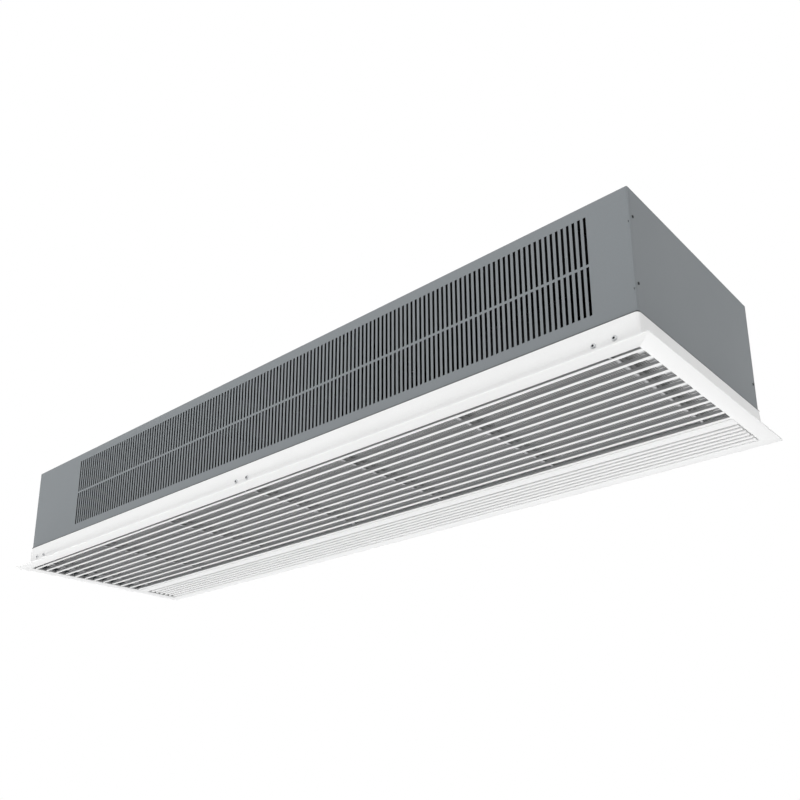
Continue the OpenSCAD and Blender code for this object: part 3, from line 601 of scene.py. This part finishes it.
def eased_copy(node_name, name, width, mat):
    """Copy of a CAD node, merged, with its sharp edges bevelled by a width."""
    clear_selection()
    piece = nodes[node_name].copy()
    piece.data = piece.data.copy()
    for key in list(piece.keys()):
        del piece[key]
    piece.parent = None
    piece.name = name
    piece.data.name = name
    bpy.context.scene.collection.objects.link(piece)
    piece.select_set(True)
    bpy.context.view_layer.objects.active = piece
    bpy.ops.object.mode_set(mode="EDIT")
    bpy.ops.mesh.select_all(action="SELECT")
    bpy.ops.mesh.remove_doubles(threshold=0.000002)
    bpy.ops.mesh.dissolve_limited(angle_limit=math.radians(0.5))
    bpy.ops.object.mode_set(mode="OBJECT")
    ease_edges(piece, width, 35.0)
    piece.data.materials.clear()
    piece.data.materials.append(mat)
    return piece


frame_coat = coated("frame_coat", (0.855, 0.857, 0.855), (0.885, 0.887, 0.885),
                    roughness=0.38, peel=0.16)
eased_by = 0.0004
for side in ("front", "rear", "left", "right"):
    length = eased_copy("frame_" + side, "frame_" + side + "_eased", eased_by, frame_coat)
    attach(length, "casing")
    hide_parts("frame_" + side)
give(frame_coat, "divider")


def moulded(name, dark, light, roughness, scale=1200.0, grain=0.2):
    """Moulded plastic, rubber or thick black coat with a fine grain."""
    mat, tree, bsdf, place = new_finish(name, roughness)
    skin = use_group(tree, coat_skin, place, scale)
    tree.links.new(blend(tree, "MIX", skin.outputs["Cloud"], dark, light), bsdf.inputs["Base Color"])
    satin = ramp(tree, skin.outputs["Speck"], [(0.3, roughness - 0.05), (0.7, roughness + 0.05)])
    tree.links.new(satin, bsdf.inputs["Roughness"])
    bump(tree, bsdf, skin.outputs["Peel"], grain, 0.0001)
    return mat


def new_box(name, low, high):
    """A box between two corners, with its place in its mesh."""
    clear_selection()
    bpy.ops.mesh.primitive_cube_add(size=1.0)
    piece = bpy.context.active_object
    piece.name = name
    piece.data.name = name
    middle, size = (low + high) / 2, high - low
    piece.data.transform(Matrix.Translation(middle) @ Matrix.Diagonal((*size, 1.0)))
    return piece


# A thin dark grey rubber strip lies on the collar's rim, all round the casing, as painted shade: it
# stands for the shadow line where the collar meets the casing
shade_seal_rubber = moulded("shade_seal_rubber", (0.045, 0.047, 0.05), (0.065, 0.067, 0.07), roughness=0.6)
shade_seal_h, shade_seal_w = 0.0022, 0.0026
bend_r = 0.003
collar_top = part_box("frame_front")[1].z
shade_seal = new_box("collar_shade_seal", Vector((-casing_half_l, -casing_half_w, collar_top)),
               Vector((casing_half_l, casing_half_w, collar_top + shade_seal_h)))
bpy.ops.object.mode_set(mode="EDIT")
bpy.ops.mesh.select_mode(type="EDGE")
bpy.ops.mesh.select_all(action="DESELECT")
shade_seal_mesh = bmesh.from_edit_mesh(shade_seal.data)
for edge in shade_seal_mesh.edges:
    if abs(edge.verts[0].co.z - edge.verts[1].co.z) > shade_seal_h / 2:
        edge.select_set(True)
bmesh.update_edit_mesh(shade_seal.data)
bpy.ops.mesh.bevel(offset=bend_r, segments=6, affect="EDGES")
bpy.ops.mesh.select_mode(type="FACE")
bpy.ops.mesh.select_all(action="DESELECT")
shade_seal_mesh = bmesh.from_edit_mesh(shade_seal.data)
for face in shade_seal_mesh.faces:
    face.select_set(abs(face.normal.z) > 0.9)
bmesh.update_edit_mesh(shade_seal.data)
bpy.ops.mesh.delete(type="FACE")
bpy.ops.object.mode_set(mode="OBJECT")
wall = shade_seal.modifiers.new("shade_seal_wall", "SOLIDIFY")
wall.thickness = shade_seal_w
wall.offset = 1.0
bpy.ops.object.modifier_apply(modifier="shade_seal_wall")
ease_edges(shade_seal, eased_by, 60.0)
shade_seal.data.materials.append(shade_seal_rubber)
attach(shade_seal, "casing")

# ------------------------------------------------------------------ intake grille
# Twelve extruded aluminium bars, white, with painted shade on their sides above the nose,
# on seven light grey cross rods. The extrusion left faint draw lines along the bars. Behind
# them a welded wire mesh holds the filter fleece.

# Drawn or extruded metal: Lines run along X, Streak is their slower change of tone
draw_lines, draw_in, draw_out = new_group(
    "draw_lines",
    [("Vector", "NodeSocketVector", None), ("Scale", "NodeSocketFloat", 1.0)],
    ["Lines", "Streak"])
for label, stretch in (("Lines", (3.0, 2600.0, 2600.0)), ("Streak", (1.2, 240.0, 240.0))):
    along = draw_lines.nodes.new("ShaderNodeMapping")
    along.inputs["Scale"].default_value = stretch
    draw_lines.links.new(draw_in.outputs["Vector"], along.inputs["Vector"])
    draw_lines.links.new(
        scaled_noise(draw_lines, along.outputs["Vector"], draw_in.outputs["Scale"], 1.0, 2.0),
        draw_out.inputs[label])


def extruded(name, dark, light, roughness, side_shade=None, side_shade_z=0.0):
    """Coated extrusion with draw lines along X; above a height its sides take a painted shade tone.
    """
    side_shade_blend = 0.0004
    mat, tree, bsdf, place = new_finish(name, roughness)
    drawn = use_group(tree, draw_lines, place, 1.0)
    tone = blend(tree, "MIX", drawn.outputs["Streak"], dark, light)
    if side_shade is not None:
        split = tree.nodes.new("ShaderNodeSeparateXYZ")
        tree.links.new(place, split.inputs[0])
        above = tree.nodes.new("ShaderNodeMapRange")
        above.interpolation_type = "SMOOTHSTEP"
        above.inputs["From Min"].default_value = side_shade_z - side_shade_blend
        above.inputs["From Max"].default_value = side_shade_z + side_shade_blend
        tree.links.new(split.outputs["Z"], above.inputs["Value"])
        # Above the height the sides turn to the painted shade tone
        tone = blend(tree, "MIX", above.outputs["Result"], tone, side_shade)
    line = ramp(tree, drawn.outputs["Lines"], [(0.3, 0.975), (0.7, 1.0)])
    tree.links.new(blend(tree, "MULTIPLY", 1.0, tone, line), bsdf.inputs["Base Color"])
    satin = ramp(tree, drawn.outputs["Streak"], [(0.3, roughness - 0.03), (0.7, roughness + 0.05)])
    tree.links.new(satin, bsdf.inputs["Roughness"])
    bump(tree, bsdf, drawn.outputs["Lines"], 0.10, 0.0001)
    return mat


# The bars' sides above the nose are grey: painted shade between the bars
bar_coat = extruded("bar_coat", (0.835, 0.838, 0.835), (0.87, 0.872, 0.87), roughness=0.36,
                    side_shade=(0.28, 0.283, 0.286), side_shade_z=0.0024)
give(bar_coat, "grille_bars")
rod_coat = extruded("rod_coat", (0.40, 0.405, 0.41), (0.46, 0.465, 0.47), roughness=0.45)
give(rod_coat, "grille_rods")

# The frame that holds the filter is folded from sheet and coated light grey
filter_coat = coated("filter_coat", (0.66, 0.663, 0.665), (0.70, 0.703, 0.705),
                     roughness=0.55, peel=0.2)
give(filter_coat, "filter_frame")

# Filter: grey fleece with a square mesh of 1 mm wires on its lower face, 4.8 mm apart
filter_low, filter_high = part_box("intake_filter")
wire_t, wire_pitch = 0.0010, 0.0048
fleece_edge = 0.0005
fleece_mat, fleece_tree, fleece_bsdf, fleece_place = new_finish("filter_fleece", roughness=0.95)
fibre = fleece_tree.nodes.new("ShaderNodeTexNoise")
fibre.inputs["Scale"].default_value = 700.0
fibre.inputs["Detail"].default_value = 4.0
fibre.inputs["Distortion"].default_value = 2.0
fleece_tree.links.new(fleece_place, fibre.inputs["Vector"])
fleece_tone = ramp(fleece_tree, fibre.outputs["Fac"],
                   [(0.3, (0.20, 0.202, 0.204)), (0.7, (0.28, 0.282, 0.285))])
fleece_tree.links.new(fleece_tone, fleece_bsdf.inputs["Base Color"])
bump(fleece_tree, fleece_bsdf, fibre.outputs["Fac"], 0.6, 0.0008)

fleece = new_box("filter_fleece", filter_low + Vector((0.0, 0.0, 2.0 * wire_t)), filter_high)
bpy.ops.object.mode_set(mode="EDIT")
bpy.ops.mesh.select_all(action="SELECT")
bpy.ops.mesh.bevel(offset=fleece_edge, segments=2, affect="EDGES")
bpy.ops.object.mode_set(mode="OBJECT")
fleece.data.materials.append(fleece_mat)
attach(fleece, "grille")
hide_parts("intake_filter")

# The wires along X lie under the wires across them
wire_mat = turned_metal("filter_wire", (0.56, 0.562, 0.565), (0.63, 0.632, 0.635),
                        roughness=0.5, metallic=0.3)
strands = []
span = filter_high - filter_low
middle = (filter_low + filter_high) / 2
for strand_l, width, turn_axis, across, layer in (
        (span.x, span.y, "Y", Vector((0.0, 1.0, 0.0)), 0.5),
        (span.y, span.x, "X", Vector((1.0, 0.0, 0.0)), 1.5)):
    clear_selection()
    bpy.ops.mesh.primitive_cylinder_add(vertices=5, radius=wire_t / 2, depth=1.0,
                                        end_fill_type="NGON")
    strand = bpy.context.active_object
    turn = Matrix.Rotation(math.radians(90.0), 4, turn_axis)
    strand.data.transform(turn @ Matrix.Diagonal((1.0, 1.0, strand_l, 1.0)))
    count = int(width / wire_pitch)
    first = Vector((middle.x, middle.y, filter_low.z + wire_t * layer))
    for i in range(count):
        where = first + across * (i - (count - 1) / 2) * wire_pitch
        strands.append(copy_to(strand, Matrix.Translation(where)))
    bpy.data.objects.remove(strand)
wires = join_as("filter_wires", strands, wire_mat)
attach(wires, "grille")

# Magnets in black cases hold the grille shut
magnet_black = moulded("magnet_black", (0.025, 0.026, 0.028), (0.04, 0.042, 0.045), roughness=0.55)
give(magnet_black, "magnet_catches")

# ------------------------------------------------------------------ outlet
# Six slim extruded vanes with a round nose, white. They turn on pins in grey nylon bearing
# strips at both ends.

vane_coat = extruded("vane_coat", (0.85, 0.852, 0.85), (0.88, 0.882, 0.88), roughness=0.40)
give(vane_coat, *["vane_%d" % number for number in range(1, 7)])
nylon = moulded("nylon", (0.42, 0.42, 0.415), (0.48, 0.48, 0.475), roughness=0.45)
give(nylon, "vane_strip_left", "vane_strip_right")

# ------------------------------------------------------------------ fans
# Three double-inlet fans: forward-curved wheels of black coated sheet on external rotor
# motors with a grey cast stator, held by straps across the inlets.

wheel_black = moulded("wheel_black", (0.018, 0.019, 0.020), (0.028, 0.029, 0.031), roughness=0.42)
give(wheel_black, "fan_wheel_1", "fan_wheel_2", "fan_wheel_3")
cast_grey = coated("cast_grey", (0.20, 0.21, 0.215), (0.26, 0.27, 0.275),
                   roughness=0.55, peel=0.6, scale=700.0)
give(cast_grey, "fan_motor_1", "fan_motor_2", "fan_motor_3")

# ------------------------------------------------------------------ electrics
# The control box holds a green circuit board with its relays and a white terminal block,
# screwed in. The mains cable comes in through a black nylon gland in the left end panel.

board_green = moulded("board_green", (0.010, 0.075, 0.030), (0.016, 0.105, 0.042),
                      roughness=0.32, scale=500.0, grain=0.1)
give(board_green, "circuit_board")
terminal_white = moulded("terminal_white", (0.58, 0.58, 0.55), (0.64, 0.64, 0.61), roughness=0.45)
give(terminal_white, "terminal_block")
gland_black = moulded("gland_black", (0.022, 0.023, 0.025), (0.036, 0.037, 0.04), roughness=0.40)

# Cable gland: thread with a lock nut inside the end panel, hexagon and ribbed cap nut outside
gland_low, gland_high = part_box("cable_gland")
gland_middle = (gland_low + gland_high) / 2
bore_r, thread_r, hex_r, cap_r = 0.0045, 0.0080, 0.0120, 0.0095
thread_l, lock_nut_h, sheet_t, hex_h, cap_h = 0.0295, 0.0050, 0.0015, 0.0080, 0.0080
thread_turns, thread_depth = 18, 0.0004
nut_ease_h, nut_ease_r = 0.0004, 0.0006
rib_count, rib_depth, bore_ease = 18, 0.0005, 0.0005
cap_foot_h, cap_foot_r = 0.0006, cap_r - 0.0008
# The cap nut's rounded end: height of each step, and its radius as a share of the cap's
cap_round = ((0.0005, 0.92), (0.0012, 0.80), (0.0007, 0.64))


def hexagon(corner):
    """Radius of a hexagon by angle, for shape_ring."""
    def radius(angle):
        return corner * math.cos(math.pi / 6.0) / math.cos(angle % (math.pi / 3.0) - math.pi / 6.0)
    return radius


def ribbed(angle):
    """Radius of the cap nut with its grip ribs."""
    on_rib = math.cos(rib_count * angle + math.pi / 4.0) > 0.0
    return cap_r if on_rib else cap_r - rib_depth


gland = start_ring("cable_gland_turned", 72, bore_r)
pull_ring(0.0, thread_r - thread_depth)
thread_pitch = thread_l / thread_turns
for turn in range(thread_turns):
    pull_ring(thread_pitch * 0.3, thread_r)
    pull_ring(thread_pitch * 0.2, thread_r)
    pull_ring(thread_pitch * 0.3, thread_r - thread_depth)
    pull_ring(thread_pitch * 0.2, thread_r - thread_depth)
for nut_h, gap_after in ((lock_nut_h, sheet_t), (hex_h, 0.0)):
    pull_ring(0.0, hexagon(hex_r - nut_ease_r))
    pull_ring(nut_ease_h, hexagon(hex_r))
    pull_ring(nut_h - 2.0 * nut_ease_h, hexagon(hex_r))
    pull_ring(nut_ease_h, hexagon(hex_r - nut_ease_r))
    pull_ring(0.0, thread_r)
    if gap_after:
        pull_ring(gap_after, thread_r)
pull_ring(0.0, cap_foot_r)
pull_ring(cap_foot_h, ribbed)
pull_ring(cap_h - cap_foot_h - sum(rise for rise, share in cap_round), ribbed)
for rise, share in cap_round:
    pull_ring(rise, cap_r * share)
pull_ring(0.0, bore_r + bore_ease)
pull_ring(-bore_ease, bore_r)
pull_ring(bore_ease - (gland_high.x - gland_low.x), bore_r)
finish_turned(gland, 30.0)
gland.data.transform(Matrix.Translation((gland_high.x, gland_middle.y, gland_middle.z))
                     @ Matrix.Rotation(math.radians(-90.0), 4, "Y"))
gland.data.materials.append(gland_black)
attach(gland, "casing")
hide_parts("cable_gland")
